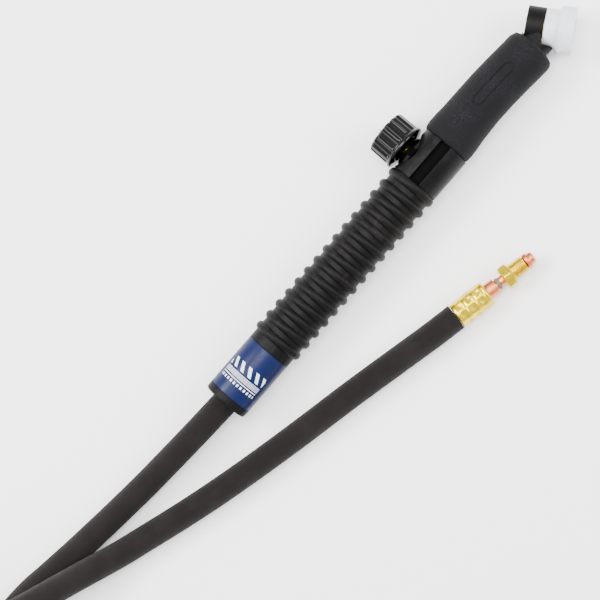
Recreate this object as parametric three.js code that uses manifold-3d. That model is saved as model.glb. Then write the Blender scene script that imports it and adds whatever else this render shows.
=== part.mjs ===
// TIG welding torch with a gas valve in the handle, its one-piece power and gas cable, and the brass
// fitting on the cable's far end. Millimetres, +Z up. The torch lies along +X with its head at +X, the
// valve knob points to +Y, and the table that everything lies on is z = 0.
import * as THREE from 'three';
import { mergeVertices } from 'three/addons/utils/BufferGeometryUtils.js';
import Module from 'manifold-3d';

const wasm = await Module();
wasm.setup();

// Driving dimensions
const GAP = 0.35;                  // clearance left between touching pieces
const TORCH_R = 15.3;              // radius of the ribs and of the boot's bulge, which rest on the table
const HANDLE_LENGTH = 160;
const SLEEVE_R = 13.4;             // smooth collar and the valleys between the ribs
const HANDLE_BORE_R = 10.5;
const RIB_COUNT = 15;
const RIB_PITCH = 8;
const FIRST_RIB_X = 45.5;
const LABEL_START_X = 4.5;
const LABEL_END_X = 37.5;
const LABEL_RECESS = 0.65;
const SHELL_R = 14.4;
const SHELL_START_X = HANDLE_LENGTH + GAP;
const SHELL_END_X = 187.3;
const SHELL_SLOT_WIDTH = 6.8;
const SHELL_SLOT_Y = -1.2;
const COVER_R = 12.2;              // moulded cover over the brass valve body
const VALVE_X = 172;               // the spindle stands here, square to the torch
const BOSS_R = 11.3;
const BOSS_TOP_R = 8.8;
const BOSS_HEIGHT = 14.3;
const KNOB_R = 12.9;
const KNOB_RIM_R = 13.9;
const KNOB_BOTTOM = 14.9;         // underside of the hub
const KNOB_RIM_START = 16.4;
const KNOB_RIM_END = 18.5;
const KNOB_TOP = 31.6;
const KNOB_FLUTES = 14;
const SPINDLE_R = 2;
const BOOT_START_X = SHELL_END_X + GAP;
const BOOT_END_X = 260.5;
const BOOT_R = 14.2;
const NECK_R = 9.3;
const HEAD_X = 274.6;              // origin of the distances along the head's axis
const HEAD_Y = -1.4;
const HEAD_ANGLE = THREE.MathUtils.degToRad(59.5);
const HEAD_R = 10.75;
const HEAD_BACK = -14;             // distances along the head's axis, towards the nozzle end
const HEAD_FRONT = -4.3;
const FLANGE_R = 13.4;
const INSULATOR_FRONT = 12.6;
const CORE_R = 7.6;
const CORE_BORE_R = 4.5;
const CABLE_R = 7.6;
const CABLE_Z = 7.9;               // height of the cable's centre where it lies on the table
const FITTING_REAR = [120.3, -65.6, CABLE_Z];
const FITTING_ANGLE = THREE.MathUtils.degToRad(-10.8);
const COIL_CENTRE = [-317.8, -33.8];
const COIL_OUTER_TURN_R = 92.8;    // centre line of the outermost turn
const TURN_SPACING = 15.4;
const COIL_COLUMNS = 3;
const COIL_LAYERS = 3;
const COIL_LIFT = 2;               // the ties hold the bundle this far off the table

// Cable centre line outside the coil, from the handle's rear end to the coil
const TORCH_STRAND = [
  [-GAP, 0, 15.3], [-14, 0.5, 15.1], [-30, 1.5, 13.3], [-48, 2.9, 10.3], [-66, 4.3, 8.4], [-85, 6, 7.9],
  [-104, 7.9, 7.9], [-122, 9.9, 7.9], [-140, 12.2, 7.9], [-155, 14.2, 7.9], [-174.4, 13.9, 7.9],
  [-192.7, 7.5, 7.9], [-208.2, -4.1, 8.2], [-219.3, -20, 8.8], [-225.4, -41.8, 9.6],
];
// From the coil back past the handle to the brass fitting
const FITTING_STRAND = [
  [-287, 53.7, 40.4], [-262, 44.9, 39.6], [-237, 36.1, 37.2], [-212, 27.3, 33.2], [-188, 18.9, 28.8],
  [-166, 11.1, 24.6], [-148, 4.7, 21.6], [-133, -0.4, 18.8], [-118, -5.6, 13.6], [-103, -10.8, 9.8],
  [-88, -15.4, 8.1], [-70, -21, 7.9], [-48, -27.4, 7.9], [-21.6, -34.2, 7.9], [13.7, -42.3, 7.9],
  [48.4, -49.6, 7.9], [82.2, -57.3, 7.9], [104, -62.3, 7.9], [119.95, -65.53, 7.9],
];
const TORCH_STUB = 37;             // length of each strand that the coil's solid carries
const FITTING_STUB = 56;

const LOOKS = {
  handle: [0x1e1e1f, 0.6, 0], label: [0x1e3a7a, 0.45, 0], rubber: [0x2c2c2e, 0.85, 0],
  gloss: [0x101012, 0.18, 0], shell: [0x343436, 0.5, 0], brass: [0xcdb95a, 0.3, 1],
  copper: [0xc98264, 0.35, 1], ptfe: [0xe2e3ea, 0.4, 0], cover: [0x2a2625, 0.9, 0],
  packing: [0x4d4a45, 0.7, 0], strap: [0x1a1a1c, 0.95, 0],
};
const materials = Object.fromEntries(Object.entries(LOOKS).map(([name, [color, roughness, metalness]]) =>
  [name, new THREE.MeshStandardMaterial({ color, roughness, metalness })]));

// Shape helpers -------------------------------------------------------------------------------------

// One closed body with merged corners, no collapsed triangles and its faces turned outwards
function cleaned(geometry) {
  const bare = geometry.clone();
  bare.deleteAttribute('normal');
  bare.deleteAttribute('uv');
  const merged = mergeVertices(bare, 1e-4);
  const position = merged.attributes.position;
  const kept = [];
  let volume = 0;
  const corners = [new THREE.Vector3(), new THREE.Vector3(), new THREE.Vector3()];
  for (let i = 0; i < merged.index.count; i += 3) {
    const ids = [0, 1, 2].map((k) => merged.index.getX(i + k));
    if (ids[0] === ids[1] || ids[1] === ids[2] || ids[2] === ids[0]) continue;
    ids.forEach((id, k) => corners[k].fromBufferAttribute(position, id));
    volume += corners[0].dot(corners[1].clone().cross(corners[2]));
    kept.push(...ids);
  }
  if (volume < 0) kept.reverse();
  merged.setIndex(kept);
  return merged;
}

// Turned about X from [x, radius] points; a profile off the axis closes on itself
function turned(profile, segments = 32) {
  const points = profile.map(([x, radius]) => new THREE.Vector2(radius, x));
  if (profile[0][1] > 0) points.push(points[0].clone());
  return cleaned(new THREE.LatheGeometry(points, segments).rotateZ(-Math.PI / 2));
}

const rod = (x0, x1, radius, segments = 32) =>
  turned([[x0, 0], [x0, radius], [x1, radius], [x1, 0]], segments);

const tube = (x0, x1, inner, outer, segments = 32) =>
  turned([[x0, inner], [x0, outer], [x1, outer], [x1, inner]], segments);

function block(x0, x1, y0, y1, z0, z1) {
  const box = new THREE.BoxGeometry(x1 - x0, y1 - y0, z1 - z0);
  return cleaned(box.translate((x0 + x1) / 2, (y0 + y1) / 2, (z0 + z1) / 2));
}

const alongHead = (geometry) => geometry.rotateZ(-HEAD_ANGLE).translate(HEAD_X, HEAD_Y, 0);
const alongValve = (geometry) => geometry.rotateZ(Math.PI / 2).translate(VALVE_X, 0, 0);

function toSolid(geometry) {
  const vertProperties = new Float32Array(geometry.attributes.position.array);
  const triVerts = new Uint32Array(geometry.index.array);
  return new wasm.Manifold(new wasm.Mesh({ numProp: 3, vertProperties, triVerts }));
}

function toGeometry(solid) {
  const mesh = solid.getMesh();
  const geometry = new THREE.BufferGeometry();
  geometry.setAttribute('position', new THREE.BufferAttribute(new Float32Array(mesh.vertProperties), 3));
  geometry.setIndex(new THREE.BufferAttribute(new Uint32Array(mesh.triVerts), 1));
  return geometry;
}

const joined = (...shapes) => toGeometry(shapes.map(toSolid).reduce((a, b) => a.add(b)));
const cut = (shape, ...tools) =>
  toGeometry(tools.map(toSolid).reduce((a, b) => a.subtract(b), toSolid(shape)));

function piece(parent, name, geometry, look) {
  const mesh = new THREE.Mesh(geometry, materials[look]);
  mesh.name = name;
  parent.add(mesh);
  return mesh;
}

// Handle --------------------------------------------------------------------------------------------

function handleGrip() {
  const profile = [[0, HANDLE_BORE_R], [0, SLEEVE_R - 2], [0.6, SLEEVE_R - 0.7], [2, SLEEVE_R]];
  profile.push([LABEL_START_X, SLEEVE_R], [LABEL_START_X, SLEEVE_R - LABEL_RECESS]);
  profile.push([LABEL_END_X, SLEEVE_R - LABEL_RECESS], [LABEL_END_X, SLEEVE_R]);
  for (let i = 0; i < RIB_COUNT; i++) {
    const x = FIRST_RIB_X + i * RIB_PITCH;
    profile.push([x - 2.6, SLEEVE_R], [x - 1.4, TORCH_R - 0.4], [x, TORCH_R]);
    if (i < RIB_COUNT - 1) profile.push([x + 1.4, TORCH_R - 0.4], [x + 2.6, SLEEVE_R]);
  }
  profile.push([HANDLE_LENGTH - 0.8, TORCH_R - 0.4], [HANDLE_LENGTH, TORCH_R - 1]);
  const socketR = COVER_R + GAP;
  profile.push([HANDLE_LENGTH, socketR], [HANDLE_LENGTH - 12, socketR], [HANDLE_LENGTH - 12, HANDLE_BORE_R]);
  return turned(profile, 36);
}

const labelSleeve = () => tube(LABEL_START_X + GAP, LABEL_END_X - GAP, SLEEVE_R - 0.3, SLEEVE_R, 36);

function cableBushing() {
  const inner = CABLE_R + GAP;
  const plug = HANDLE_BORE_R - GAP;
  return turned([[0.4, inner], [0.4, plug], [6, plug], [34, inner + 0.6], [34, inner]]);
}

// Hose end: crimped ferrule, copper stem, loose brass nut and its retaining ring, along +X ------------

const FERRULE_LENGTH = 21.5;
const FERRULE_R = 7.3;
const NUT_START = 32.8;
const NUT_HEX_LENGTH = 5.5;
const NUT_FLAT_TO_FLAT = 12.7;
const THREAD_R = 4.76;
const THREAD_END = 48;
const STEM_NOSE_END = 53.5;
const NECK_TURNED_R = 2.95;        // the stem between its wide root and its seat
const GROOVE_START = 28.2;
const GROOVE_END = 30.1;
const NUT_BORE_R = NECK_TURNED_R + GAP;

function ferrule() {
  return turned([[0, 0], [0, 6.7], [0.8, FERRULE_R], [FERRULE_LENGTH - 1, FERRULE_R],
    [FERRULE_LENGTH, 6.4], [FERRULE_LENGTH, 4.85], [10, 4.85], [10, 0]]);
}

function stem() {
  const [bore, wide, nose, groove, neck] = [1.5, 4.5, 3.3, 2.5, NECK_TURNED_R];
  return turned([
    [10.4, bore], [10.4, wide], [27.5, wide], [27.5, neck],
    [GROOVE_START, neck], [GROOVE_START, groove], [GROOVE_END, groove], [GROOVE_END, neck],
    [THREAD_END - 0.3, neck], [THREAD_END + 0.3, wide], [50.4, wide], [50.4, nose],
    [STEM_NOSE_END - 0.8, nose], [STEM_NOSE_END, nose - 0.7], [STEM_NOSE_END, bore],
  ], 24);
}

function nut() {
  const outline = new THREE.Shape();
  for (let i = 0; i < 6; i++) {
    const angle = (i + 0.5) * Math.PI / 3;
    const corner = NUT_FLAT_TO_FLAT / 2 / Math.cos(Math.PI / 6);
    outline[i ? 'lineTo' : 'moveTo'](corner * Math.cos(angle), corner * Math.sin(angle));
  }
  outline.closePath();
  const hex = new THREE.ExtrudeGeometry(outline, { depth: NUT_HEX_LENGTH, bevelEnabled: false });
  hex.rotateY(Math.PI / 2).translate(NUT_START, 0, 0);
  const shank = turned([[NUT_START + 1, 0], [NUT_START + 1, THREAD_R], [THREAD_END - 1.5, THREAD_R],
    [THREAD_END - 0.6, THREAD_R - 0.6], [THREAD_END - 0.6, 0]]);
  return cut(joined(cleaned(hex), shank), rod(NUT_START - 1, THREAD_END + 1, NUT_BORE_R, 24));
}

function hoseEnd(parent, prefix) {
  piece(parent, `${prefix}_crimp_ferrule`, ferrule(), 'brass');
  piece(parent, `${prefix}_copper_stem`, stem(), 'copper');
  piece(parent, `${prefix}_stem_ring`, tube(GROOVE_START + 0.1, GROOVE_END - 0.1, 2.8, 3.3, 24), 'packing');
  piece(parent, `${prefix}_brass_nut`, nut(), 'brass');
}

// Valve ---------------------------------------------------------------------------------------------

const HOSE_END_X = 84.3;
const BODY_START_X = HOSE_END_X + NUT_START + NUT_HEX_LENGTH + GAP;
const BODY_END_X = 200;
const BODY_R = 9.5;
const GLAND_BORE_R = 4.2;
const TURRET_R = 6.5;
const TURRET_TOP = 11.7;
const SEAT_Y = -0.5;
const OUTLET_Y = -3;
const TUBE_R = 4.6;
const TUBE_START_X = 184;

function valveBody() {
  const barrel = turned([[BODY_START_X, 0], [BODY_START_X, 8.5], [150, 8.5], [150, BODY_R],
    [BODY_END_X, BODY_R], [BODY_END_X, 0]]);
  const turret = alongValve(rod(1, TURRET_TOP, TURRET_R));
  return cut(joined(barrel, turret),
    rod(BODY_START_X - 1, HOSE_END_X + STEM_NOSE_END + 1, THREAD_R + GAP, 24),
    rod(HOSE_END_X + STEM_NOSE_END, VALVE_X, 2, 16),
    alongValve(rod(4.2, 15, GLAND_BORE_R, 24)),
    alongValve(rod(SEAT_Y, 5, SPINDLE_R + GAP, 24)),
    alongValve(rod(OUTLET_Y, SEAT_Y + 0.5, 1.2, 16)),
    rod(VALVE_X - 1.2, TUBE_START_X, 1.2, 16).translate(0, OUTLET_Y, 0),
    rod(TUBE_START_X - GAP, BODY_END_X + 1, TUBE_R + GAP, 24));
}

function valveCover() {
  const sleeve = tube(SHELL_START_X - 11, BOOT_START_X + 12, BODY_R + GAP, COVER_R, 36);
  const boss = alongValve(turned([[9.9, 0], [9.9, BOSS_R], [11.6, BOSS_R], [BOSS_HEIGHT, BOSS_TOP_R],
    [BOSS_HEIGHT, 0]], 36));
  const turretHole = alongValve(rod(0, BOSS_HEIGHT + 1, TURRET_R + GAP));
  const sightSlot = block(VALVE_X - 2.6, VALVE_X + 2.6, 7.2, BOSS_HEIGHT + 1, 7.8, 13);
  const hollowBoss = cut(boss, rod(VALVE_X - 20, VALVE_X + 20, BODY_R + GAP, 36));
  return cut(joined(sleeve, hollowBoss), turretHole, sightSlot);
}

// C-shaped outer shell, sprung over the cover, with a full-length slot along its top
function valveShell() {
  const sleeve = tube(SHELL_START_X, SHELL_END_X, COVER_R + GAP, SHELL_R, 48);
  const half = SHELL_SLOT_WIDTH / 2;
  return cut(sleeve, alongValve(rod(0, 20, BOSS_R + GAP, 36)),
    block(SHELL_START_X - 1, SHELL_END_X + 1, SHELL_SLOT_Y - half, SHELL_SLOT_Y + half, 8, 20));
}

// Spindle pieces are drawn along +X and stood up along the valve's axis
const glandNut = () => joined(tube(7.4, TURRET_TOP + 1, SPINDLE_R + GAP, GLAND_BORE_R - GAP, 24),
  tube(TURRET_TOP + GAP, TURRET_TOP + 2.1, SPINDLE_R + GAP, 5.4, 6));
const glandPacking = () => tube(4.6, 7, SPINDLE_R + GAP, GLAND_BORE_R - GAP, 24);
const spindle = () => turned([[-1.4, 0], [-0.1, 0.8], [1.5, SPINDLE_R], [29, SPINDLE_R], [29, 0]], 24);

function knob() {
  const body = turned([[KNOB_BOTTOM, 0], [KNOB_BOTTOM, 6.5], [KNOB_RIM_START, KNOB_RIM_R - 0.3],
    [KNOB_RIM_START + 0.4, KNOB_RIM_R], [KNOB_RIM_END - 0.4, KNOB_RIM_R], [KNOB_RIM_END, KNOB_R + 0.2],
    [KNOB_TOP - 0.9, KNOB_R], [KNOB_TOP, KNOB_R - 0.9], [KNOB_TOP, 9.5], [KNOB_TOP - 0.8, 8.8],
    [KNOB_TOP - 0.8, 0]], 56);
  const flutes = [];
  for (let i = 0; i < KNOB_FLUTES; i++) {
    const groove = rod(KNOB_RIM_END + 0.2, KNOB_TOP + 1, 1.25, 8).translate(0, 0, KNOB_R + 0.4);
    flutes.push(groove.rotateX(i * 2 * Math.PI / KNOB_FLUTES));
  }
  return cut(body, rod(KNOB_BOTTOM - 1, 29.4, SPINDLE_R + GAP, 24), ...flutes);
}

// Neck, boot and head -------------------------------------------------------------------------------

const NECK_START_X = 216;
const TUBE_END_X = 262;
const CORE_TAIL_R = 6.8;
const CORE_TAIL_X = 252;
const RECESS_LENGTH = 29.5;
const RECESS_WIDTH = 5.8;
const RECESS_X = 229;

const neckTube = () => tube(TUBE_START_X, TUBE_END_X, 2.6, TUBE_R, 24);

function headCore() {
  const barrel = alongHead(rod(HEAD_BACK + 0.4, 6, CORE_R));
  const beyondHead = alongHead(rod(HEAD_FRONT - GAP, 25, 2 * HEAD_R));
  const tail = cut(rod(CORE_TAIL_X, HEAD_X - 2, CORE_TAIL_R), beyondHead);
  return cut(joined(barrel, tail),
    alongHead(rod(HEAD_BACK - 1, 7, CORE_BORE_R, 24)),
    alongHead(rod(HEAD_BACK - 1, HEAD_BACK + 4, 5.4, 24)),
    rod(CORE_TAIL_X - 1, TUBE_END_X + GAP, TUBE_R + GAP, 24),
    rod(TUBE_END_X, HEAD_X - 2, 2.4, 16));
}

function headCover() {
  const neck = rod(NECK_START_X, HEAD_X - 7.8, NECK_R);
  const drum = alongHead(rod(HEAD_BACK, HEAD_FRONT, HEAD_R, 40));
  return cut(joined(neck, drum),
    alongHead(block(HEAD_FRONT, 25, -HEAD_R - GAP, 25, -20, 20)),
    alongHead(block(2.4, 25, -FLANGE_R - GAP, 25, -20, 20)),
    alongHead(rod(HEAD_BACK - 1, 10, CORE_R + GAP)),
    rod(CORE_TAIL_X - GAP, HEAD_X, CORE_TAIL_R + GAP),
    rod(NECK_START_X - 1, CORE_TAIL_X, TUBE_R + GAP, 24));
}

const headInsulator = () => turned([[HEAD_FRONT + GAP, CORE_R + GAP], [HEAD_FRONT + GAP, HEAD_R],
  [2.9, HEAD_R], [3.7, HEAD_R + 1.6], [5, FLANGE_R], [INSULATOR_FRONT, FLANGE_R], [INSULATOR_FRONT, 5.4],
  [6.4, 5.4], [6.4, CORE_R + GAP]], 40);

function neckBoot() {
  const profile = [[BOOT_START_X, COVER_R + GAP], [BOOT_START_X, 14.4], [188.6, 14.9], [193, TORCH_R],
    [197, TORCH_R - 0.15], [203, 14.6], [216, BOOT_R], [BOOT_END_X - 4.7, BOOT_R]];
  for (let i = 1; i <= 4; i++) {
    const angle = i * Math.PI / 8;
    profile.push([BOOT_END_X - 4.7 * (1 - Math.sin(angle)), BOOT_R - 4.2 * (1 - Math.cos(angle))]);
  }
  const step = NECK_START_X - 14;
  profile.push([BOOT_END_X, NECK_R + GAP], [step, NECK_R + GAP], [step, COVER_R + GAP]);
  const outline = new THREE.Shape();
  const straight = (RECESS_LENGTH - RECESS_WIDTH) / 2;
  outline.absarc(straight, 0, RECESS_WIDTH / 2, -Math.PI / 2, Math.PI / 2, false);
  outline.absarc(-straight, 0, RECESS_WIDTH / 2, Math.PI / 2, 3 * Math.PI / 2, false);
  const recess = new THREE.ExtrudeGeometry(outline, { depth: 4, bevelEnabled: false, curveSegments: 8 });
  recess.translate(RECESS_X, 0, BOOT_R - 0.8);
  return cut(turned(profile, 40), alongHead(rod(HEAD_BACK - GAP, 20, HEAD_R + GAP, 40)), cleaned(recess));
}

// Cable ---------------------------------------------------------------------------------------------

function smooth(points) {
  const curve = new THREE.CatmullRomCurve3(points.map((p) => new THREE.Vector3(...p)), false, 'centripetal');
  curve.arcLengthDivisions = 400;
  return curve;
}

// The part of a curve between two fractions of its length
class Stretch extends THREE.Curve {
  constructor(whole, start, end) {
    super();
    this.whole = whole;
    this.start = start;
    this.end = end;
  }

  getPoint(t, target) {
    return this.whole.getPointAt(this.start + (this.end - this.start) * t, target);
  }
}

// Plain tube along a route between two lengths measured from its start
function cableTube(route, from, to, steps) {
  const whole = smooth(route);
  const total = whole.getLength();
  const section = new THREE.Shape();
  section.absarc(0, 0, CABLE_R, 0, 2 * Math.PI, false);
  const extrudePath = new Stretch(whole, from / total, Math.min(1, to / total));
  return cleaned(new THREE.ExtrudeGeometry(section, { steps, curveSegments: 12, extrudePath }));
}

const torchStrandLength = smooth(TORCH_STRAND).getLength();
const fittingStrandLength = smooth(FITTING_STRAND).getLength();
const coilInnerR = COIL_OUTER_TURN_R - (COIL_COLUMNS - 1) * TURN_SPACING - CABLE_R;
const coilOuterR = COIL_OUTER_TURN_R + CABLE_R;
const coilHeight = (COIL_LAYERS - 1) * TURN_SPACING + 2 * CABLE_R;

// The coil's outer shape: a rounded ring, with a stub of each strand where it runs into the bundle
function coilSolid() {
  const edge = 4;
  const ring = turned([[0, coilInnerR + edge], [0, coilOuterR - edge], [edge, coilOuterR],
    [coilHeight - edge, coilOuterR], [coilHeight, coilOuterR - edge], [coilHeight, coilInnerR + edge],
    [coilHeight - edge, coilInnerR], [edge, coilInnerR]], 48);
  ring.rotateY(-Math.PI / 2).translate(...COIL_CENTRE, COIL_LIFT);
  return joined(cleaned(ring),
    cableTube(TORCH_STRAND, torchStrandLength - TORCH_STUB, torchStrandLength, 3),
    cableTube(FITTING_STRAND, 0, FITTING_STUB, 3));
}

// Strap closed round the bundle, drawn across X and set at an angle round the ring
const TIE_ANGLES = [165, 262].map(THREE.MathUtils.degToRad);
const TIE_WIDTH = 12;
const TIE_THICKNESS = 1;
const TIE_CLEARANCE = 0.8;         // straight strap round a curved bundle

function coilTie(angle) {
  const wide = coilOuterR - coilInnerR;
  const outline = (margin, radius) => {
    const [x, y] = [wide / 2 + margin, coilHeight / 2 + margin];
    const shape = new THREE.Shape();
    shape.absarc(x - radius, y - radius, radius, 0, Math.PI / 2, false);
    shape.absarc(-x + radius, y - radius, radius, Math.PI / 2, Math.PI, false);
    shape.absarc(-x + radius, -y + radius, radius, Math.PI, 1.5 * Math.PI, false);
    shape.absarc(x - radius, -y + radius, radius, 1.5 * Math.PI, 2 * Math.PI, false);
    return shape.closePath();
  };
  const strap = (margin, radius, width) => cleaned(new THREE.ExtrudeGeometry(outline(margin, radius),
    { depth: width, bevelEnabled: false, curveSegments: 4 }).translate(0, 0, -width / 2));
  const band = strap(TIE_CLEARANCE + TIE_THICKNESS, 5.8, TIE_WIDTH);
  const loop = cut(band, strap(TIE_CLEARANCE, 4.8, TIE_WIDTH + 2));
  loop.rotateX(Math.PI / 2).translate((coilOuterR + coilInnerR) / 2, 0, COIL_LIFT + coilHeight / 2);
  return loop.rotateZ(angle).translate(...COIL_CENTRE, 0);
}

// Assembly ------------------------------------------------------------------------------------------

const root = new THREE.Group();
const torch = new THREE.Group();
torch.position.z = TORCH_R;
const tail = new THREE.Group();
tail.position.x = HOSE_END_X;
const valve = new THREE.Group();
valve.position.x = VALVE_X;
valve.rotation.z = Math.PI / 2;
const head = new THREE.Group();
head.position.set(HEAD_X, HEAD_Y, 0);
head.rotation.z = -HEAD_ANGLE;
torch.add(tail, valve, head);

piece(torch, 'handle_grip', handleGrip(), 'handle');
piece(torch, 'label_sleeve', labelSleeve(), 'label');
piece(torch, 'cable_bushing', cableBushing(), 'rubber');
piece(torch, 'cable_inside_handle', rod(1, HOSE_END_X - GAP, CABLE_R, 24), 'cover');
hoseEnd(tail, 'torch_end');
piece(torch, 'valve_body', valveBody(), 'brass');
piece(torch, 'valve_cover', valveCover(), 'gloss');
piece(torch, 'valve_shell', valveShell(), 'shell');
piece(valve, 'gland_nut', glandNut(), 'brass');
piece(valve, 'gland_packing', glandPacking(), 'packing');
piece(valve, 'valve_spindle', spindle(), 'brass');
piece(valve, 'valve_knob', knob(), 'gloss');
piece(torch, 'neck_tube', neckTube(), 'copper');
piece(torch, 'neck_boot', neckBoot(), 'rubber');
piece(torch, 'head_core', headCore(), 'brass');
piece(torch, 'head_cover', headCover(), 'handle');
piece(head, 'head_insulator', headInsulator(), 'ptfe');

// The object's own pieces stand centred over the origin; the cable and its fitting lie where they reach
const box = new THREE.Box3().setFromObject(torch);
root.position.set(-(box.min.x + box.max.x) / 2, -(box.min.y + box.max.y) / 2, 0);
root.add(torch);

const fitting = new THREE.Group();
fitting.position.set(...FITTING_REAR);
fitting.rotation.z = FITTING_ANGLE;
hoseEnd(fitting, 'cable_end');
root.add(fitting);

const torchStrand = cableTube(TORCH_STRAND, 0, torchStrandLength - TORCH_STUB - GAP, 10);
piece(root, 'cable_torch_strand', torchStrand, 'cover');
piece(root, 'cable_fitting_strand',
  cableTube(FITTING_STRAND, FITTING_STUB + GAP, fittingStrandLength, 14), 'cover');
piece(root, 'cable_coil', coilSolid(), 'cover');
TIE_ANGLES.forEach((angle, i) => piece(root, `coil_tie_${i + 1}`, coilTie(angle), 'strap'));

export default root;
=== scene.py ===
"""TIG welding torch with a gas valve, its coiled power cable and the cable's brass fitting.

Sizes in the builders are in millimetres in the torch's own coordinates: X runs from the handle's rear face
towards the head, the torch's axis is Y = 0 and Z = 0. The matrices from along() carry a finished mesh into
the row frame.
"""
import math

import bmesh
import bpy
import numpy as np
from mathutils import Matrix, Vector


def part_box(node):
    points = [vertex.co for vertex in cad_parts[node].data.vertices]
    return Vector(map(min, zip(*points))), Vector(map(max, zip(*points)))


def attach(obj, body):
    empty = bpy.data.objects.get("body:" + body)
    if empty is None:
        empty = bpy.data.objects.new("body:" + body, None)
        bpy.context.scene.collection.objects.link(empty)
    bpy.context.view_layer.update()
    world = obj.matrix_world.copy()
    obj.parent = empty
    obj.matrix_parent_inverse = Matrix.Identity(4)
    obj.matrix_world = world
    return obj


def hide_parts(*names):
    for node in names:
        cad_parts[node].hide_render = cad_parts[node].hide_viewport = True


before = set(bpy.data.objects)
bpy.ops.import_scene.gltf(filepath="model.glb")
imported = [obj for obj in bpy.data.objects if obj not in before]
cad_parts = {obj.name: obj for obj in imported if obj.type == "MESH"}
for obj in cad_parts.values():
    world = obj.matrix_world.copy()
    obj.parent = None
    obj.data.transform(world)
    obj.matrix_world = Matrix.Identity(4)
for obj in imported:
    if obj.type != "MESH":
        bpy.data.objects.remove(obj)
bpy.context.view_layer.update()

MM = 0.001
TAU = 2 * math.pi

# Places that the frame gives
HANDLE_LOW, HANDLE_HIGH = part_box("handle_grip")
AXIS_Y = (HANDLE_LOW.y + HANDLE_HIGH.y) / 2
AXIS_Z = (HANDLE_LOW.z + HANDLE_HIGH.z) / 2
TORCH_ORIGIN = Vector((HANDLE_LOW.x, AXIS_Y, AXIS_Z))
CABLE_ORIGIN = Vector((HANDLE_LOW.x, AXIS_Y, 0))

# Sizes shared by several builders
SLEEVE_R = 13.4
RIB_R = 15.3
HANDLE_LENGTH = 160
VALVE_X = 172
BOOT_START_X = 187.65
BOOT_END_X = 260.5
HEAD_SPOT = (274.6, -1.4, 0)
SHELL_SLOT_Y = -1.2
HEAD_ANGLE = math.radians(59.5)
CABLE_R = 7.6
CABLE_Z = 7.9
FITTING_REAR = (120.3, -65.6, CABLE_Z)
FITTING_ANGLE = math.radians(-10.8)
THREAD_PITCH = 25.4 / 24


# Frames for the builders ----------------------------------------------------------------------------

def along(origin_mm, angle):
    """Matrix that lays a mesh drawn along +X (mm) at a point of the torch, turned about Z."""
    spot = TORCH_ORIGIN + Vector(origin_mm) * MM
    return Matrix.Translation(spot) @ Matrix.Rotation(angle, 4, "Z") @ Matrix.Scale(MM, 4)


TORCH = along((0, 0, 0), 0)
VALVE = along((VALVE_X, 0, 0), math.pi / 2)
HEAD = along(HEAD_SPOT, -HEAD_ANGLE)
FITTING_SPOT = Vector((FITTING_REAR[0], FITTING_REAR[1], FITTING_REAR[2] - AXIS_Z / MM))
FITTING = along(FITTING_SPOT, FITTING_ANGLE)


# Camera ------------------------------------------------------------------------------------------------

VIEW_TARGET = TORCH_ORIGIN + Vector((70.2, 5.6, 0)) * MM
VIEW_DISTANCE = 1.0
VIEW_BACK = Vector((0.03, -0.15, 0.988)).normalized()
VIEW_ROLL = math.radians(49.15)
MM_PER_PIXEL = 0.556
FRAME_PIXELS = 600
SENSOR_MM = 36


def make_camera():
    across = (Vector((1, 0, 0)) - VIEW_BACK.x * VIEW_BACK).normalized()
    upward = VIEW_BACK.cross(across)
    right = math.cos(VIEW_ROLL) * across - math.sin(VIEW_ROLL) * upward
    up = math.sin(VIEW_ROLL) * across + math.cos(VIEW_ROLL) * upward
    data = bpy.data.cameras.new("camera")
    data.sensor_width = SENSOR_MM
    data.lens = SENSOR_MM * VIEW_DISTANCE / MM / MM_PER_PIXEL / FRAME_PIXELS
    camera = bpy.data.objects.new("camera", data)
    turn = Matrix((right, up, VIEW_BACK)).transposed().to_4x4()
    camera.matrix_world = Matrix.Translation(VIEW_TARGET + VIEW_DISTANCE * VIEW_BACK) @ turn
    bpy.context.scene.collection.objects.link(camera)
    bpy.context.scene.camera = camera


make_camera()


# Mesh helpers -----------------------------------------------------------------------------------------

def finished(name, bm, place, body, material, smooth_angle=35, replaces=()):
    """Turns a bmesh into a shown piece: placed, shaded smooth up to an angle, riding on its body."""
    bm.transform(place)
    bmesh.ops.recalc_face_normals(bm, faces=bm.faces)
    limit = math.radians(smooth_angle)
    for face in bm.faces:
        face.smooth = True
    for edge in bm.edges:
        edge.smooth = len(edge.link_faces) == 2 and edge.calc_face_angle() < limit
    mesh = bpy.data.meshes.new(name)
    bm.to_mesh(mesh)
    bm.free()
    mesh.materials.append(material)
    piece = bpy.data.objects.new(name, mesh)
    bpy.context.scene.collection.objects.link(piece)
    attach(piece, body)
    if replaces:
        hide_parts(*replaces)
    return piece


def softened(profile, radius, closed=False, steps=3):
    """Profile with each corner rounded by a short curve that starts radius away from it."""
    points = [Vector(p) for p in profile]
    count = len(points)
    out = []
    for i, corner in enumerate(points):
        if not closed and i in (0, count - 1):
            out.append(corner)
            continue
        before = points[i - 1] - corner
        after = points[(i + 1) % count] - corner
        if before.angle(after) > math.radians(165):
            out.append(corner)
            continue
        start = corner + before.normalized() * min(radius, before.length * 0.45)
        end = corner + after.normalized() * min(radius, after.length * 0.45)
        for k in range(steps + 1):
            t = k / steps
            out.append((1 - t) ** 2 * start + 2 * t * (1 - t) * corner + t ** 2 * end)
    return [tuple(p) for p in out]


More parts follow.
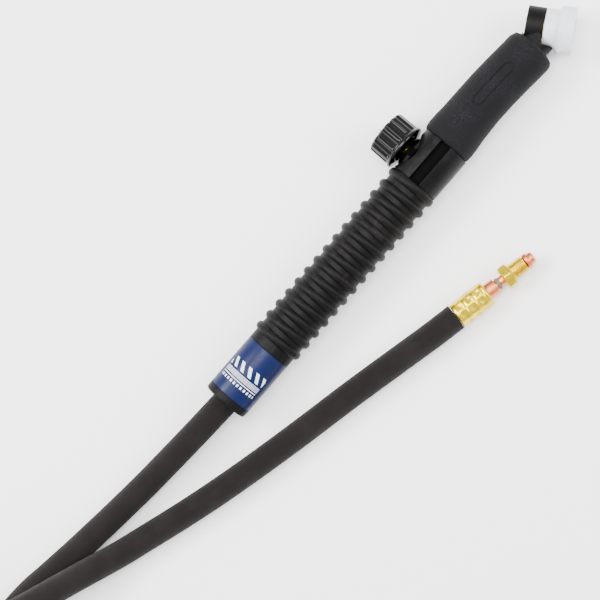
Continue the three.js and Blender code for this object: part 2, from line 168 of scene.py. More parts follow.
def grid(stations, segments, position, closed=False):
    """Mesh of rings: position(station, angle) gives a point; UV is (arc along the ring, station), in mm."""
    bm = bmesh.new()
    uv = bm.loops.layers.uv.new("surface")
    rings = []
    for station in stations:
        rings.append([bm.verts.new(position(station, TAU * k / segments)) for k in range(segments)])
    mean_r = sum(math.hypot(v.co.y, v.co.z) for ring in rings for v in ring) / (len(rings) * segments)
    lengths = [0]
    for a, b in zip(rings, rings[1:]):
        lengths.append(lengths[-1] + (b[0].co - a[0].co).length)
    pairs = list(zip(range(len(rings)), range(1, len(rings))))
    if closed:
        pairs.append((len(rings) - 1, 0))
    for i, j in pairs:
        low, high = lengths[i], lengths[j]
        for k in range(segments):
            n = (k + 1) % segments
            face = bm.faces.new((rings[i][k], rings[i][n], rings[j][n], rings[j][k]))
            arcs = [TAU * q / segments * mean_r for q in (k, k + 1, k + 1, k)]
            for loop, arc, height in zip(face.loops, arcs, (low, low, high, high)):
                loop[uv].uv = (arc, height)
    return bm


def lathe(profile, segments=72, closed=False):
    """Surface turned about X from (x, radius) points."""
    bm = grid(profile, segments, lambda p, a: (p[0], p[1] * math.cos(a), p[1] * math.sin(a)), closed)
    bmesh.ops.remove_doubles(bm, verts=bm.verts, dist=1e-4)
    return bm


def dense(profile, step):
    """Extra points so that no stretch of the profile is longer than step."""
    out = [profile[0]]
    for a, b in zip(profile, profile[1:]):
        count = max(1, math.ceil(math.dist(a, b) / step))
        for k in range(1, count + 1):
            t = k / count
            out.append((a[0] + (b[0] - a[0]) * t, a[1] + (b[1] - a[1]) * t))
    return out


def bumps(x, centre, half, power=0.7):
    """1 at centre, 0 from half away on, round in between."""
    t = (x - centre) / half
    return (1 - t * t) ** power if abs(t) < 1 else 0


def smoothstep(t):
    t = min(1, max(0, t))
    return t * t * (3 - 2 * t)


def refined(node, material, bevel_mm, body="torch", shaded=None):
    """Copy of a CAD node with its flats joined, its edges rounded and its curves shaded smooth.

    shaded is (material, test): the faces whose centre and normal (torch mm) pass the test take that material.
    """
    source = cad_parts[node]
    bm = bmesh.new()
    bm.from_mesh(source.data)
    bmesh.ops.transform(bm, matrix=Matrix.Scale(1 / MM, 4), verts=bm.verts)
    bmesh.ops.remove_doubles(bm, verts=bm.verts, dist=1e-3)
    bmesh.ops.dissolve_limit(bm, angle_limit=math.radians(1), verts=bm.verts, edges=bm.edges)
    sharp = [e for e in bm.edges if len(e.link_faces) == 2 and e.calc_face_angle() > math.radians(28)]
    bmesh.ops.bevel(bm, geom=sharp, offset=bevel_mm, segments=3, profile=0.6, affect="EDGES",
                    clamp_overlap=True)
    if shaded:
        for face in bm.faces:
            if shaded[1](face.calc_center_median() - TORCH_ORIGIN / MM, face.normal):
                face.material_index = 1
    piece = finished(node + "_finished", bm, Matrix.Scale(MM, 4), body, material, 40, (node,))
    if shaded:
        piece.data.materials.append(shaded[0])
    return piece


# Material helpers -------------------------------------------------------------------------------------

class Surface:
    """A node material under construction. Its methods add a node and return that node's output."""

    def __init__(self, name, **constants):
        self.material = bpy.data.materials.new(name)
        self.material.use_nodes = True
        self.tree = self.material.node_tree
        self.shader = self.tree.nodes["Principled BSDF"]
        self.height = None
        for socket, value in constants.items():
            self.shader.inputs[socket.replace("_", " ")].default_value = value

    def node(self, kind, inputs=(), **settings):
        made = self.tree.nodes.new(kind)
        for key, value in settings.items():
            setattr(made, key, value)
        for socket, value in dict(inputs).items():
            if isinstance(value, bpy.types.NodeSocket):
                self.tree.links.new(value, made.inputs[socket])
            elif value is not None:
                made.inputs[socket].default_value = value
        return made

    def place(self):
        return self.node("ShaderNodeTexCoord").outputs["Object"]

    def surface_uv(self):
        """(mm round the piece, mm along it) as two outputs."""
        uv = self.node("ShaderNodeUVMap", uv_map="surface").outputs[0]
        split = self.node("ShaderNodeSeparateXYZ", {0: uv})
        return split.outputs[0], split.outputs[1]

    def noise(self, per_metre, detail=3, roughness=0.55, stretch=None):
        at = self.place()
        if stretch:
            at = self.node("ShaderNodeVectorMath", {0: at, 1: stretch}, operation="MULTIPLY").outputs[0]
        made = self.node("ShaderNodeTexNoise", {"Vector": at, "Scale": per_metre, "Detail": detail,
                                                "Roughness": roughness})
        return made.outputs[0]

    def math(self, operation, a, b=None, clamp=False):
        made = self.node("ShaderNodeMath", {0: a, 1: b}, operation=operation, use_clamp=clamp)
        return made.outputs[0]

    def ramp(self, value, low, high, out_low=0.0, out_high=1.0):
        made = self.node("ShaderNodeMapRange", {"Value": value, "From Min": low, "From Max": high,
                                                "To Min": out_low, "To Max": out_high})
        return made.outputs[0]

    def blend(self, amount, first, second):
        made = self.node("ShaderNodeMix", data_type="RGBA")
        for socket, value in ((0, amount), (6, first), (7, second)):
            if isinstance(value, bpy.types.NodeSocket):
                self.tree.links.new(value, made.inputs[socket])
            else:
                made.inputs[socket].default_value = value
        return made.outputs[2]

    def set(self, socket, value):
        self.tree.links.new(value, self.shader.inputs[socket])

    def emboss(self, height, distance):
        """Adds a height pattern (0 to 1) of that depth in metres to the surface."""
        made = self.node("ShaderNodeBump", {"Height": height, "Distance": distance, "Strength": 1.0})
        if self.height:
            self.tree.links.new(self.height, made.inputs["Normal"])
        self.height = made.outputs[0]
        self.tree.links.new(self.height, self.shader.inputs["Normal"])


DISPLAY_GAMMA = 2.2


def colour(red, green, blue):
    """Linear colour from display values of 0 to 255."""
    return tuple((c / 255) ** DISPLAY_GAMMA for c in (red, green, blue)) + (1,)


# Materials --------------------------------------------------------------------------------------------

def moulded_plastic(name, base, worn, rough, grain_depth, coat=0.0):
    """Moulded plastic: fine grain, handling marks in the gloss, a paler rub in patches."""
    s = Surface(name, Coat_Weight=coat, Coat_Roughness=0.06, IOR=1.2)
    patches = s.noise(90, 4)
    fine = s.noise(2600, 2)
    scuffs = s.noise(700, 5, 0.7, (0.25, 1, 1))
    rub = s.ramp(s.math("MULTIPLY", patches, scuffs), 0.26, 0.42)
    s.set("Base Color", s.blend(s.math("MULTIPLY", rub, 0.5), base, worn))
    s.set("Roughness", s.ramp(s.math("ADD", patches, s.math("MULTIPLY", scuffs, 0.6)), 0.5, 1.1,
                              rough - 0.07, rough + 0.09))
    s.emboss(fine, grain_depth)
    s.emboss(scuffs, grain_depth * 0.6)
    return s.material


def soft_rubber(name, base, dusty, rough, grain_depth):
    """Moulded rubber: matt, evenly pitted, a little dust in the pits."""
    s = Surface(name, IOR=1.2, Sheen_Weight=0.02, Sheen_Roughness=0.5)
    pits = s.node("ShaderNodeTexVoronoi", {"Vector": s.place(), "Scale": 1500.0}).outputs["Distance"]
    cloud = s.noise(55, 4)
    dust = s.math("MULTIPLY", s.ramp(cloud, 0.4, 0.75), s.ramp(pits, 0.6, 0.2))
    s.set("Base Color", s.blend(dust, base, dusty))
    s.set("Roughness", s.ramp(cloud, 0.3, 0.7, rough - 0.06, rough + 0.08))
    s.emboss(pits, grain_depth)
    s.emboss(s.noise(400, 3), grain_depth * 1.5)
    return s.material


def turned_metal(name, base, dull, rough, ring_depth, tarnish):
    """Machined metal: tool marks round the axis in the bump, tarnish in clouds, rougher where dull."""
    s = Surface(name, Metallic=1.0, IOR=1.5)
    along_mm = s.surface_uv()[1]
    wander = s.math("MULTIPLY", s.noise(300, 2), 0.6)
    phase = s.math("MULTIPLY", s.math("ADD", along_mm, wander), 34.0)
    rings = s.ramp(s.math("SINE", phase), -1, 1)
    clouds = s.noise(240, 5, 0.65)
    specks = s.noise(2200, 2)
    amount = s.math("MULTIPLY", s.ramp(clouds, 0.42, 0.72), tarnish)
    s.set("Base Color", s.blend(amount, base, dull))
    s.set("Roughness", s.ramp(s.math("ADD", clouds, s.math("MULTIPLY", specks, 0.4)), 0.45, 0.95,
                              rough - 0.08, rough + 0.12))
    s.emboss(rings, ring_depth)
    s.emboss(specks, ring_depth * 0.8)
    return s.material


def plain_metal(name, base, dull, rough, tarnish):
    """The same metal on a part with no lathe marks of its own."""
    s = Surface(name, Metallic=1.0, IOR=1.5)
    clouds = s.noise(260, 5, 0.65)
    scratches = s.noise(1500, 3, 0.6, (0.2, 1, 1))
    s.set("Base Color", s.blend(s.math("MULTIPLY", s.ramp(clouds, 0.42, 0.72), tarnish), base, dull))
    s.set("Roughness", s.ramp(scratches, 0.3, 0.7, rough - 0.08, rough + 0.12))
    s.emboss(scratches, 0.00002)
    return s.material


def painted_shade_plastic():
    """Near-black unpolished plastic used as painted shade: the dark deep inside the shell's slot and the
    boss's notch.
    """
    s = Surface("painted_slot_shade", IOR=1.12)
    cloud = s.noise(300, 4)
    s.set("Base Color", s.blend(cloud, colour(3, 3, 3), colour(14, 14, 14)))
    s.set("Roughness", s.ramp(cloud, 0.3, 0.7, 0.7, 0.9))
    s.emboss(s.noise(1400, 3), 0.00003)
    return s.material


def woven_cover():
    """Woven jacket: two sets of slanting yarns that pass over and under each other, with loose fuzz."""
    s = Surface("woven_cover", IOR=1.22, Sheen_Weight=0.05, Sheen_Roughness=0.4)
    round_mm, along_mm = s.surface_uv()
    yarn = 5.6
    left = s.math("SINE", s.math("MULTIPLY", s.math("ADD", round_mm, along_mm), yarn))
    right = s.math("SINE", s.math("MULTIPLY", s.math("SUBTRACT", round_mm, along_mm), yarn))
    over = s.math("MULTIPLY", left, right)
    weave = s.ramp(over, -1, 1)
    fuzz = s.noise(3200, 4, 0.7)
    dust = s.noise(60, 4)
    mix = s.math("ADD", s.math("MULTIPLY", weave, 0.55), s.math("MULTIPLY", fuzz, 0.45))
    shaded = s.blend(s.ramp(mix, 0.25, 0.75), colour(8, 7, 7), colour(38, 34, 34))
    dusty = s.math("MULTIPLY", s.ramp(dust, 0.45, 0.75), 0.3)
    s.set("Base Color", s.blend(dusty, shaded, colour(44, 40, 39)))
    s.set("Roughness", s.ramp(fuzz, 0.3, 0.7, 0.82, 0.96))
    s.emboss(weave, 0.00022)
    s.emboss(fuzz, 0.00006)
    return s.material


def strap_cloth():
    """Woven tape with raised loops."""
    s = Surface("strap_cloth", IOR=1.45, Sheen_Weight=0.5, Sheen_Roughness=0.35)
    loops = s.node("ShaderNodeTexVoronoi", {"Vector": s.place(), "Scale": 900.0}).outputs["Distance"]
    fuzz = s.noise(2400, 4, 0.7)
    s.set("Base Color", s.blend(s.ramp(loops, 0.1, 0.7), colour(58, 58, 64), colour(20, 20, 23)))
    s.set("Roughness", s.ramp(fuzz, 0.3, 0.7, 0.85, 0.98))
    s.emboss(loops, 0.0004)
    s.emboss(fuzz, 0.0001)
    return s.material


def sintered_ptfe():
    """White fluoropolymer: waxy, faint turning rings, a trace of grey handling."""
    s = Surface("sintered_ptfe", IOR=1.38, Subsurface_Weight=0.15, Subsurface_Scale=0.002)
    along_mm = s.surface_uv()[1]
    rings = s.ramp(s.math("SINE", s.math("MULTIPLY", along_mm, 26.0)), -1, 1)
    cloud = s.noise(160, 4)
    s.set("Base Color", s.blend(s.ramp(cloud, 0.45, 0.8), colour(208, 210, 218), colour(188, 190, 200)))
    s.set("Roughness", s.ramp(cloud, 0.3, 0.7, 0.34, 0.5))
    s.emboss(rings, 0.00002)
    s.emboss(s.noise(900, 3), 0.00003)
    return s.material


def packing_fibre():
    s = Surface("packing_fibre", IOR=1.45)
    fibres = s.noise(2600, 4, 0.7, (0.2, 1, 1))
    s.set("Base Color", s.blend(fibres, colour(58, 60, 50), colour(120, 122, 100)))
    s.set("Roughness", s.ramp(fibres, 0.3, 0.7, 0.6, 0.85))
    s.emboss(fibres, 0.0001)
    return s.material


def printed_label():
    """Blue film with a plain printed pattern: a line, a dotted band, slanted bars and small dashes."""
    s = Surface("printed_label", IOR=1.25, Coat_Weight=0.06, Coat_Roughness=0.2)
    round_mm, along_mm = s.surface_uv()

    def between(value, low, high):
        return s.math("MULTIPLY", s.math("GREATER_THAN", value, low), s.math("LESS_THAN", value, high))

    def stripes(value, per_unit, share):
        cycle = s.math("FRACT", s.math("MULTIPLY", value, per_unit))
        return s.math("LESS_THAN", cycle, share)

    reach = between(round_mm, 8, 34)
    line = between(along_mm, 9.9, 10.4)
    dots = s.math("MULTIPLY", stripes(round_mm, 1.6, 0.62), stripes(along_mm, 1.6, 0.7))
    band = s.math("MULTIPLY", between(along_mm, 11.2, 14.2), dots)
    slanted = s.math("ADD", round_mm, s.math("MULTIPLY", along_mm, 0.55))
    bars = s.math("MULTIPLY", between(along_mm, 15.4, 20.6), stripes(slanted, 0.19, 0.42))
    dashes = s.math("MULTIPLY", between(along_mm, 7.4, 8.9), stripes(round_mm, 0.42, 0.5))
    ink = s.math("ADD", s.math("ADD", line, bars), s.math("ADD", band, dashes), clamp=True)
    ink = s.math("MULTIPLY", ink, reach)
    cloud = s.noise(150, 3)
    film = s.blend(s.ramp(cloud, 0.35, 0.7), colour(7, 24, 62), colour(11, 20, 56))
    s.set("Base Color", s.blend(s.math("MULTIPLY", ink, 0.9), film, colour(222, 226, 238)))
    s.set("Roughness", s.ramp(s.noise(700, 4), 0.3, 0.7, 0.34, 0.5))
    s.emboss(s.noise(500, 3), 0.00004)
    return s.material


NYLON = moulded_plastic("satin_nylon", colour(15, 14, 14), colour(38, 36, 36), 0.5, 0.00005)
GLOSS = moulded_plastic("gloss_plastic", colour(6, 6, 7), colour(18, 18, 20), 0.14, 0.000004, 0.35)
SHELL = moulded_plastic("shell_plastic", colour(14, 14, 15), colour(34, 34, 34), 0.42, 0.00001)
BOOT_RUBBER = soft_rubber("boot_rubber", colour(20, 20, 22), colour(42, 42, 45), 0.78, 0.00005)
BRASS = turned_metal("turned_brass", colour(234, 204, 34), colour(138, 114, 14), 0.27, 0.00001, 0.8)
BRASS_PLAIN = plain_metal("plain_brass", colour(232, 200, 48), colour(140, 112, 24), 0.3, 0.8)
COPPER = turned_metal("turned_copper", colour(226, 132, 90), colour(150, 74, 48), 0.3, 0.000012, 0.7)
COPPER_PLAIN = plain_metal("plain_copper", colour(222, 118, 82), colour(146, 68, 46), 0.32, 0.7)
# SHADE is painted shade: near-black for the shell's slot and the boss's notch
SHADE = painted_shade_plastic()
COVER = woven_cover()
STRAP = strap_cloth()
PTFE = sintered_ptfe()
PACKING = packing_fibre()
LABEL = printed_label()


# Cable -----------------------------------------------------------------------------------------------

TORCH_STRAND = [
    (-0.00035, 0, 0.0153), (-0.014, 0.0005, 0.0151), (-0.03, 0.0015, 0.0133), (-0.048, 0.0029, 0.0103),
    (-0.066, 0.0043, 0.0084), (-0.085, 0.006, 0.0079), (-0.104, 0.0079, 0.0079), (-0.122, 0.0099, 0.0079),
    (-0.14, 0.0122, 0.0079), (-0.155, 0.0142, 0.0079), (-0.1744, 0.0139, 0.0079), (-0.1927, 0.0075, 0.0079),
    (-0.2082, -0.0041, 0.0082), (-0.2193, -0.02, 0.0088), (-0.2254, -0.0418, 0.0096),
]
FITTING_STRAND = [
    (-0.287, 0.0537, 0.0404), (-0.262, 0.0449, 0.0396), (-0.237, 0.0361, 0.0372), (-0.212, 0.0273, 0.0332),
    (-0.188, 0.0189, 0.0288), (-0.166, 0.0111, 0.0246), (-0.148, 0.0047, 0.0216), (-0.133, -0.0004, 0.0188),
    (-0.118, -0.0056, 0.0136), (-0.103, -0.0108, 0.0098), (-0.088, -0.0154, 0.0081), (-0.07, -0.021, 0.0079),
    (-0.048, -0.0274, 0.0079), (-0.0216, -0.0342, 0.0079), (0.0137, -0.0423, 0.0079),
    (0.0484, -0.0496, 0.0079), (0.0822, -0.0573, 0.0079), (0.104, -0.0623, 0.0079),
    (0.11995, -0.06553, 0.0079),
]
COIL_CENTRE = (-0.3178, -0.0338)
COIL_OUTER_R = 0.0928
TURN_SPACING = 0.0154
COIL_LOW_Z = 0.0096
COIL_ENTRY = math.radians(355)
COIL_TURNS = 6.79
TURN_SHIFT = 0.35                    # share of a turn over which the cable moves to its next place
IN_SHIFTS = (0.86, 1.86)
OUT_SHIFTS = (3.52, 4.52)
UP_SHIFTS = (2.69, 5.35)
POINTS_PER_TURN = 24


def coil_points():
    """Clockwise turns from the outside in on the table, back out one layer up, and in again on top."""
    points = []
    steps = round(COIL_TURNS * POINTS_PER_TURN)
    for i in range(1, steps):
        u = COIL_TURNS * i / steps
        angle = COIL_ENTRY - TAU * u
        inward = sum(smoothstep((u - s) / TURN_SHIFT) for s in IN_SHIFTS)
        outward = sum(smoothstep((u - s) / TURN_SHIFT) for s in OUT_SHIFTS)
        raised = sum(smoothstep((u - s) / TURN_SHIFT) for s in UP_SHIFTS)
        r = COIL_OUTER_R - TURN_SPACING * (inward - outward)
        x = COIL_CENTRE[0] + r * math.cos(angle)
        y = COIL_CENTRE[1] + r * math.sin(angle)
        points.append((x, y, COIL_LOW_Z + TURN_SPACING * raised))
    return points


def curve_through(points, step):
    """Points about step apart on a centripetal Catmull-Rom curve through the given ones."""
    knots = [Vector(p) for p in points]
    knots = [2 * knots[0] - knots[1]] + knots + [2 * knots[-1] - knots[-2]]
    out = []
    for p0, p1, p2, p3 in zip(knots, knots[1:], knots[2:], knots[3:]):
        t1 = (p1 - p0).length ** 0.5
        t2 = t1 + (p2 - p1).length ** 0.5
        t3 = t2 + (p3 - p2).length ** 0.5
        count = max(1, round((p2 - p1).length / step))
        for k in range(count):
            t = t1 + (t2 - t1) * k / count
            a1 = (t1 - t) / t1 * p0 + t / t1 * p1
            a2 = (t2 - t) / (t2 - t1) * p1 + (t - t1) / (t2 - t1) * p2
            a3 = (t3 - t) / (t3 - t2) * p2 + (t - t2) / (t3 - t2) * p3
            b1 = (t2 - t) / t2 * a1 + t / t2 * a2
            b2 = (t3 - t) / (t3 - t1) * a2 + (t - t1) / (t3 - t1) * a3
            out.append((t2 - t) / (t2 - t1) * b1 + (t - t1) / (t2 - t1) * b2)
    out.append(knots[-2])
    return out


def cable_tube(path, radius, segments):
    """Tube of rings square to the path, with its UV in mm round and along the cable."""
    bm = bmesh.new()
    uv = bm.loops.layers.uv.new("surface")
    rings = []
    lengths = [0]
    side = Vector((0, 0, 1))
    for i, point in enumerate(path):
        tangent = (path[min(i + 1, len(path) - 1)] - path[max(i - 1, 0)]).normalized()
        side = (side - side.dot(tangent) * tangent).normalized()
        other = tangent.cross(side)
        ring = []
        for k in range(segments):
            angle = TAU * k / segments
            ring.append(bm.verts.new(point + radius * (math.cos(angle) * side + math.sin(angle) * other)))
        rings.append(ring)
        if i:
            lengths.append(lengths[-1] + (point - path[i - 1]).length)
    turn = TAU * radius / MM
    for i in range(len(rings) - 1):
        for k in range(segments):
            n = (k + 1) % segments
            face = bm.faces.new((rings[i][k], rings[i][n], rings[i + 1][n], rings[i + 1][k]))
            arcs = [turn * q / segments for q in (k, k + 1, k + 1, k)]
            heights = [lengths[i] / MM] * 2 + [lengths[i + 1] / MM] * 2
            for loop, arc, height in zip(face.loops, arcs, heights):
                loop[uv].uv = (arc, height)
    bm.faces.new(rings[0])
    bm.faces.new(rings[-1])
    return bm, lengths[-1]


CABLE_STEP = 0.004
CABLE_SEGMENTS = 28


def make_cable():
    route = curve_through(TORCH_STRAND + coil_points() + FITTING_STRAND, CABLE_STEP)
    bm, length = cable_tube(route, CABLE_R * MM, CABLE_SEGMENTS)
    path = [CABLE_ORIGIN + p for p in route]
    cable = finished("power_cable", bm, Matrix.Translation(CABLE_ORIGIN), "torch", COVER, 50,
                     ("cable_torch_strand", "cable_fitting_strand", "cable_coil"))
    return cable, path, length


cable, cable_path, cable_length = make_cable()


# Handle ------------------------------------------------------------------------------------------------

RIB_COUNT = 15
RIB_PITCH = 8
FIRST_RIB_X = 45.5
RIB_HALF_WIDTH = 2.6
LABEL_X = (4.5, 37.5)
LABEL_RECESS = 0.6


def handle_profile():
    """Collar with its label recess, the beads and the front rim, then back along the bore."""
    low, high = LABEL_X
    recess_r = SLEEVE_R - LABEL_RECESS
    rear = [(4, 10.4), (0, 10.4), (0, SLEEVE_R), (low, SLEEVE_R), (low, recess_r),
            (high, recess_r), (high, SLEEVE_R), (FIRST_RIB_X - 4, SLEEVE_R)]
    rear = softened(rear[:4], 1.7, steps=6)[:-1] + softened(rear[3:], 0.12)
    beads = []
    last = FIRST_RIB_X + (RIB_COUNT - 1) * RIB_PITCH
    for x in np.arange(FIRST_RIB_X - 3, last + 0.01, 0.4):
        nearest = FIRST_RIB_X + round((x - FIRST_RIB_X) / RIB_PITCH) * RIB_PITCH
        rise = bumps(x, max(nearest, FIRST_RIB_X), RIB_HALF_WIDTH)
        beads.append((float(x), SLEEVE_R + (RIB_R - SLEEVE_R) * rise))
    front = softened([(last + 0.4, RIB_R), (HANDLE_LENGTH - 0.9, RIB_R - 0.25), (HANDLE_LENGTH, RIB_R - 0.9),
                      (HANDLE_LENGTH, 12.7), (HANDLE_LENGTH - 6, 12.7)], 0.35)
    return rear + beads + front


def make_handle():
    finished("ribbed_handle", lathe(handle_profile(), 96), TORCH, "torch", NYLON, 50,
             ("handle_grip",))
    inner, outer = SLEEVE_R - 0.45, SLEEVE_R + 0.02
    x0, x1 = LABEL_X[0] + 0.25, LABEL_X[1] - 0.25
    outline = [(x0, inner), (x0, outer), (x1, outer), (x1, inner)]
    finished("blue_label", lathe(softened(outline, 0.1), 96), TORCH, "torch", LABEL, 50,
             ("label_sleeve",))


make_handle()


# Valve ------------------------------------------------------------------------------------------------

KNOB_FLUTES = 14
FLUTE_HALF_WIDTH = 1.35
FLUTE_DEPTH = 0.95
KNOB_TOP = 31.6
FLUTED_R = 12.9                      # turns an angle into an arc on the fluted face
FLUTE_START_X = 18.7
KNOB_SEGMENTS = KNOB_FLUTES * 18


def knob_profile():
    body = [(14.95, 2.3), (14.95, 6.4), (16.4, 13.5), (16.9, 13.85), (18.1, 13.85), (18.6, 13.0),
            (KNOB_TOP - 0.8, 12.85), (KNOB_TOP, 12.0), (KNOB_TOP, 9.6), (KNOB_TOP - 0.9, 8.9),
            (KNOB_TOP - 0.9, 4.6), (KNOB_TOP - 0.3, 4.1), (KNOB_TOP - 0.3, 0.001)]
    return softened(body, 0.5, steps=4)


def knob_point(station, angle):
    x, r = station
    cycle = (angle / TAU * KNOB_FLUTES) % 1 - 0.5
    across = cycle / KNOB_FLUTES * TAU * FLUTED_R
    depth = FLUTE_DEPTH * bumps(across, 0, FLUTE_HALF_WIDTH, 0.6)
    r -= depth * smoothstep((x - FLUTE_START_X) / 0.9) * smoothstep((r - 9.8) / 1.2)
    return x, r * math.cos(angle), r * math.sin(angle)


STRIP_HALF_WIDTH = 4.3
STRIP_LOW_Z = 11
NOTCH_HALF_WIDTH = 2.8
NOTCH_FLOOR_Z = (7.5, 8.2)


def in_cover_shade(centre, normal):
    """Faces that take the painted shade: the strip of the cover seen through the shell's slot, and the flat
    floor of the boss's notch.
    """
    strip = abs(centre.y - SHELL_SLOT_Y) < STRIP_HALF_WIDTH and centre.z > STRIP_LOW_Z
    beside_valve = abs(centre.x - VALVE_X) < NOTCH_HALF_WIDTH and centre.y > 7
    floor = NOTCH_FLOOR_Z[0] < centre.z < NOTCH_FLOOR_Z[1] and normal.z > 0.9
    return strip or (beside_valve and floor)


def make_valve():
    bm = grid(dense(knob_profile(), 0.8), KNOB_SEGMENTS, knob_point)
    bmesh.ops.remove_doubles(bm, verts=bm.verts, dist=0.01)
    finished("fluted_knob", bm, VALVE, "knob", GLOSS, 50, ("valve_knob",))
    # The cover's strip under the shell's slot and the notch floor are painted near-black as shade
    refined("valve_cover", GLOSS, 0.35, shaded=(SHADE, in_cover_shade))
    refined("valve_shell", SHELL, 0.4)
    refined("valve_spindle", BRASS_PLAIN, 0.15, body="spindle")


make_valve()


# Boot, head and insulator ------------------------------------------------------------------------------

BOOT_BOW = ((187, 0.5), (191, 0.8), (203, 1.1), (216, 1.3), (228, 1.1), (239, 0.5),
            (252, -0.5), (261, -0.9))
RECESS_X = 229
RECESS_HALF_LENGTH = 14.75
RECESS_HALF_WIDTH = 2.9
RECESS_DEPTH = 0.3
OUTLINE_DEPTH = 0.6
BOOT_R = 14.2
CORNER_LENGTH = 4.7
CORNER_DROP = 4.2


def boot_profile():
    corner = [(BOOT_END_X - CORNER_LENGTH * (1 - math.sin(a)), BOOT_R - CORNER_DROP * (1 - math.cos(a)))
              for a in (math.pi / 2 * k / 10 for k in range(11))]
    rear = softened([(194, 12.6), (BOOT_START_X, 12.6), (BOOT_START_X, 14.3), (189.2, 15), (192.6, 15.3),
                     (197, 15.15), (203, 14.6), (216, BOOT_R)], 0.9, steps=4)
    return rear + corner + [(BOOT_END_X, 9.4), (BOOT_END_X - 5, 9.4)]


def boot_point(station, angle):
    x, r = station
    y, z = r * math.cos(angle), r * math.sin(angle)
    straight = max(0, abs(x - RECESS_X) - (RECESS_HALF_LENGTH - RECESS_HALF_WIDTH))
    inside = RECESS_HALF_WIDTH - math.hypot(straight, y)
    if z > 0 and r > 13:
        z -= RECESS_DEPTH * smoothstep((inside + 0.3) / 0.6) + OUTLINE_DEPTH * bumps(inside, 0, 0.6, 1)
    if r > 12.7:
        y += float(np.interp(x, *zip(*BOOT_BOW)))
    return x, y, z


def make_head():
    bm = grid(dense(boot_profile(), 0.45), 220, boot_point)
    finished("rubber_boot", bm, TORCH, "torch", BOOT_RUBBER, 60, ("neck_boot",))
    refined("head_cover", NYLON, 0.45)
    refined("head_core", BRASS_PLAIN, 0.2)
    outline = [(-3.95, 7.95), (-3.95, 10.75), (2.9, 10.75), (3.6, 12.3), (4.8, 13.4), (12.6, 13.4),
               (12.6, 5.4), (6.4, 5.4), (6.4, 7.95)]
    insulator = lathe(softened(outline, 0.55, True, 4), 96, True)
    finished("white_insulator", insulator, HEAD, "torch", PTFE, 50, ("head_insulator",))


make_head()


# The cable's fitting -----------------------------------------------------------------------------------

CRIMP_ROWS = (4.4, 10.6, 16.8)
CRIMP_JOINTS = (7.5, 13.7, 19.4)
CRIMP_COUNT = 8
FERRULE_LENGTH = 21.5
FERRULE_R = 7.3


def ferrule_point(station, angle):
    """Crimp jaws leave rows of shallow dents with ridges between them, and one lengthwise seam."""
    x, r = station
    if r > 6:
        cycle = (angle / TAU * CRIMP_COUNT) % 1 - 0.5
        across = cycle / CRIMP_COUNT * TAU * FERRULE_R
        for row in CRIMP_ROWS:
            r -= 0.5 * bumps(x, row, 3.1, 2) * bumps(across, 0, 2.7, 2)
        for joint in CRIMP_JOINTS:
            r -= 0.3 * bumps(x, joint, 1, 2)
        ridge = 0.16 * bumps(abs(across), TAU * FERRULE_R / CRIMP_COUNT / 2, 0.35, 1)
        r += ridge * smoothstep((x - 2) / 1.5) * smoothstep((20 - x) / 1.5)
        seam = TAU * FERRULE_R * abs(angle / TAU - 0.19)
        r -= 0.4 * bumps(seam, 0, 0.35, 1) * smoothstep((x - 8) / 1) * smoothstep((20.3 - x) / 1)
    return x, r * math.cos(angle), r * math.sin(angle)


def ferrule_mesh():
    outline = softened([(0.01, 0.5), (0.01, 6.9), (0.8, FERRULE_R), (FERRULE_LENGTH - 1, FERRULE_R),
                        (FERRULE_LENGTH, 6.5), (FERRULE_LENGTH, 4.8), (FERRULE_LENGTH - 4, 4.8)], 0.4)
    return grid(dense(outline, 0.35), 160, ferrule_point)


def stem_mesh():
    outline = softened([(18, 4.5), (27.5, 4.5), (27.5, 2.95), (28.2, 2.95), (28.2, 2.5), (30.1, 2.5),
                        (30.1, 2.95), (47.7, 2.95), (48.3, 4.5), (50.4, 4.5), (50.4, 3.3), (52.7, 3.3),
                        (53.5, 2.6), (53.5, 1.5), (50, 1.5)], 0.22)
    return lathe(outline, 64)


HEX_START = 32.8
HEX_END = 38.3
HEX_FLAT_R = 6.35
THREAD_R = 4.8
THREAD_END_X = 47.2
THREAD_DEPTH = 0.65
NUT_BORE_R = 3.3


def nut_point(station, angle):
    """Hexagon with its corners turned off at both ends, a shoulder, and a helical thread."""
    x, r = station
    if r < 4:
        return x, r * math.cos(angle), r * math.sin(angle)
    if x <= HEX_END:
        off_flat = (angle / TAU * 6 + 0.5) % 1 - 0.5
        flat = HEX_FLAT_R / math.cos(off_flat * TAU / 6)
        edge = min(x - HEX_START, HEX_END - x)
        r = min(flat, 6.1 + 1.2 * edge, 7.15)
    elif x > HEX_END + 0.7:
        turn = (x / THREAD_PITCH - angle / TAU) % 1
        groove = 0.5 - 0.5 * math.cos(TAU * turn)
        fade = smoothstep((x - HEX_END - 0.7) / 0.8) * smoothstep((THREAD_END_X - x) / 0.6)
        r -= THREAD_DEPTH * groove * fade
    return x, r * math.cos(angle), r * math.sin(angle)


def nut_mesh():
    width = HEX_END - HEX_START
    hexagon = [(HEX_START, NUT_BORE_R)] + [(HEX_START + width * k / 26, 6.3) for k in range(27)]
    shoulder = [(HEX_END + 0.02, 5.6), (HEX_END + 0.5, 5.3), (HEX_END + 0.8, THREAD_R)]
    count = 76
    span = THREAD_END_X - HEX_END - 0.9
    thread = [(HEX_END + 0.9 + span * k / count, THREAD_R) for k in range(count + 1)]
    nose = [(THREAD_END_X + 0.2, 4.1), (THREAD_END_X + 0.2, NUT_BORE_R), (HEX_START, NUT_BORE_R)]
    return grid(hexagon + shoulder + thread + nose, 120, nut_point)


def ring_mesh():
    return lathe(softened([(28.3, 2.8), (28.3, 3.3), (30, 3.3), (30, 2.8)], 0.25, True), 48, True)


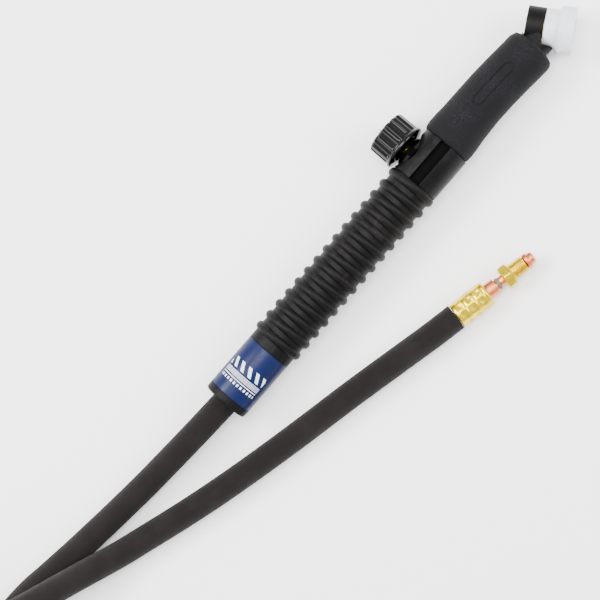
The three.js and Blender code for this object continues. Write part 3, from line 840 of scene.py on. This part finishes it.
def make_fitting():
    ferrule = finished("crimped_ferrule", ferrule_mesh(), FITTING, "torch", BRASS, 45,
                       ("cable_end_crimp_ferrule",))
    stem = finished("copper_stem", stem_mesh(), FITTING, "torch", COPPER, 45,
                    ("cable_end_copper_stem",))
    ring = finished("stem_ring", ring_mesh(), FITTING, "torch", PACKING, 45,
                    ("cable_end_stem_ring",))
    nut = finished("power_nut", nut_mesh(), FITTING, "power_nut", BRASS, 32,
                   ("cable_end_brass_nut",))
    return [ferrule, stem, ring, nut]


fitting_pieces = make_fitting()
ties = [refined(f"coil_tie_{i}", STRAP, 0.3) for i in (1, 2)]


# Pieces inside, which keep their CAD shape ------------------------------------------------------------

INNER = {
    "cable_bushing": BOOT_RUBBER, "cable_inside_handle": BOOT_RUBBER, "torch_end_crimp_ferrule": BRASS_PLAIN,
    "torch_end_copper_stem": COPPER_PLAIN, "torch_end_stem_ring": PACKING, "torch_end_brass_nut": BRASS_PLAIN,
    "valve_body": BRASS_PLAIN, "gland_nut": BRASS_PLAIN, "gland_packing": PACKING, "neck_tube": COPPER_PLAIN,
}
for node_name, material in INNER.items():
    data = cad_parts[node_name].data
    data.materials.clear()
    data.materials.append(material)


# Floor and light --------------------------------------------------------------------------------------

FLOOR_WHITE = 0.97
WORLD_STRENGTH = 1.4


def make_floor():
    bm = bmesh.new()
    bmesh.ops.create_grid(bm, x_segments=1, y_segments=1, size=3)
    mesh = bpy.data.meshes.new("floor")
    bm.to_mesh(mesh)
    bm.free()
    s = Surface("pale_floor", Roughness=0.9)
    s.shader.inputs["Base Color"].default_value = (FLOOR_WHITE, FLOOR_WHITE, FLOOR_WHITE, 1)
    mesh.materials.append(s.material)
    floor = bpy.data.objects.new("floor", mesh)
    bpy.context.scene.collection.objects.link(floor)


def area_light(name, offset, size, power):
    data = bpy.data.lights.new(name, "AREA")
    data.shape = "RECTANGLE"
    data.size, data.size_y = size
    data.energy = power
    lamp = bpy.data.objects.new(name, data)
    lamp.location = VIEW_TARGET + Vector(offset)
    lamp.rotation_euler = (-Vector(offset)).to_track_quat("-Z", "Y").to_euler()
    bpy.context.scene.collection.objects.link(lamp)


def make_light():
    area_light("left_window", (-0.5, 0.9, 1.1), (0.9, 0.5), 42)
    area_light("right_window", (0.9, -0.6, 0.9), (0.7, 0.5), 20)
    area_light("top_panel", (0.1, 0.1, 1.6), (0.8, 0.8), 32)
    world = bpy.data.worlds.new("studio")
    world.use_nodes = True
    world.node_tree.nodes["Background"].inputs[0].default_value = (1, 1, 1, 1)
    world.node_tree.nodes["Background"].inputs[1].default_value = WORLD_STRENGTH
    bpy.context.scene.world = world


make_floor()
make_light()
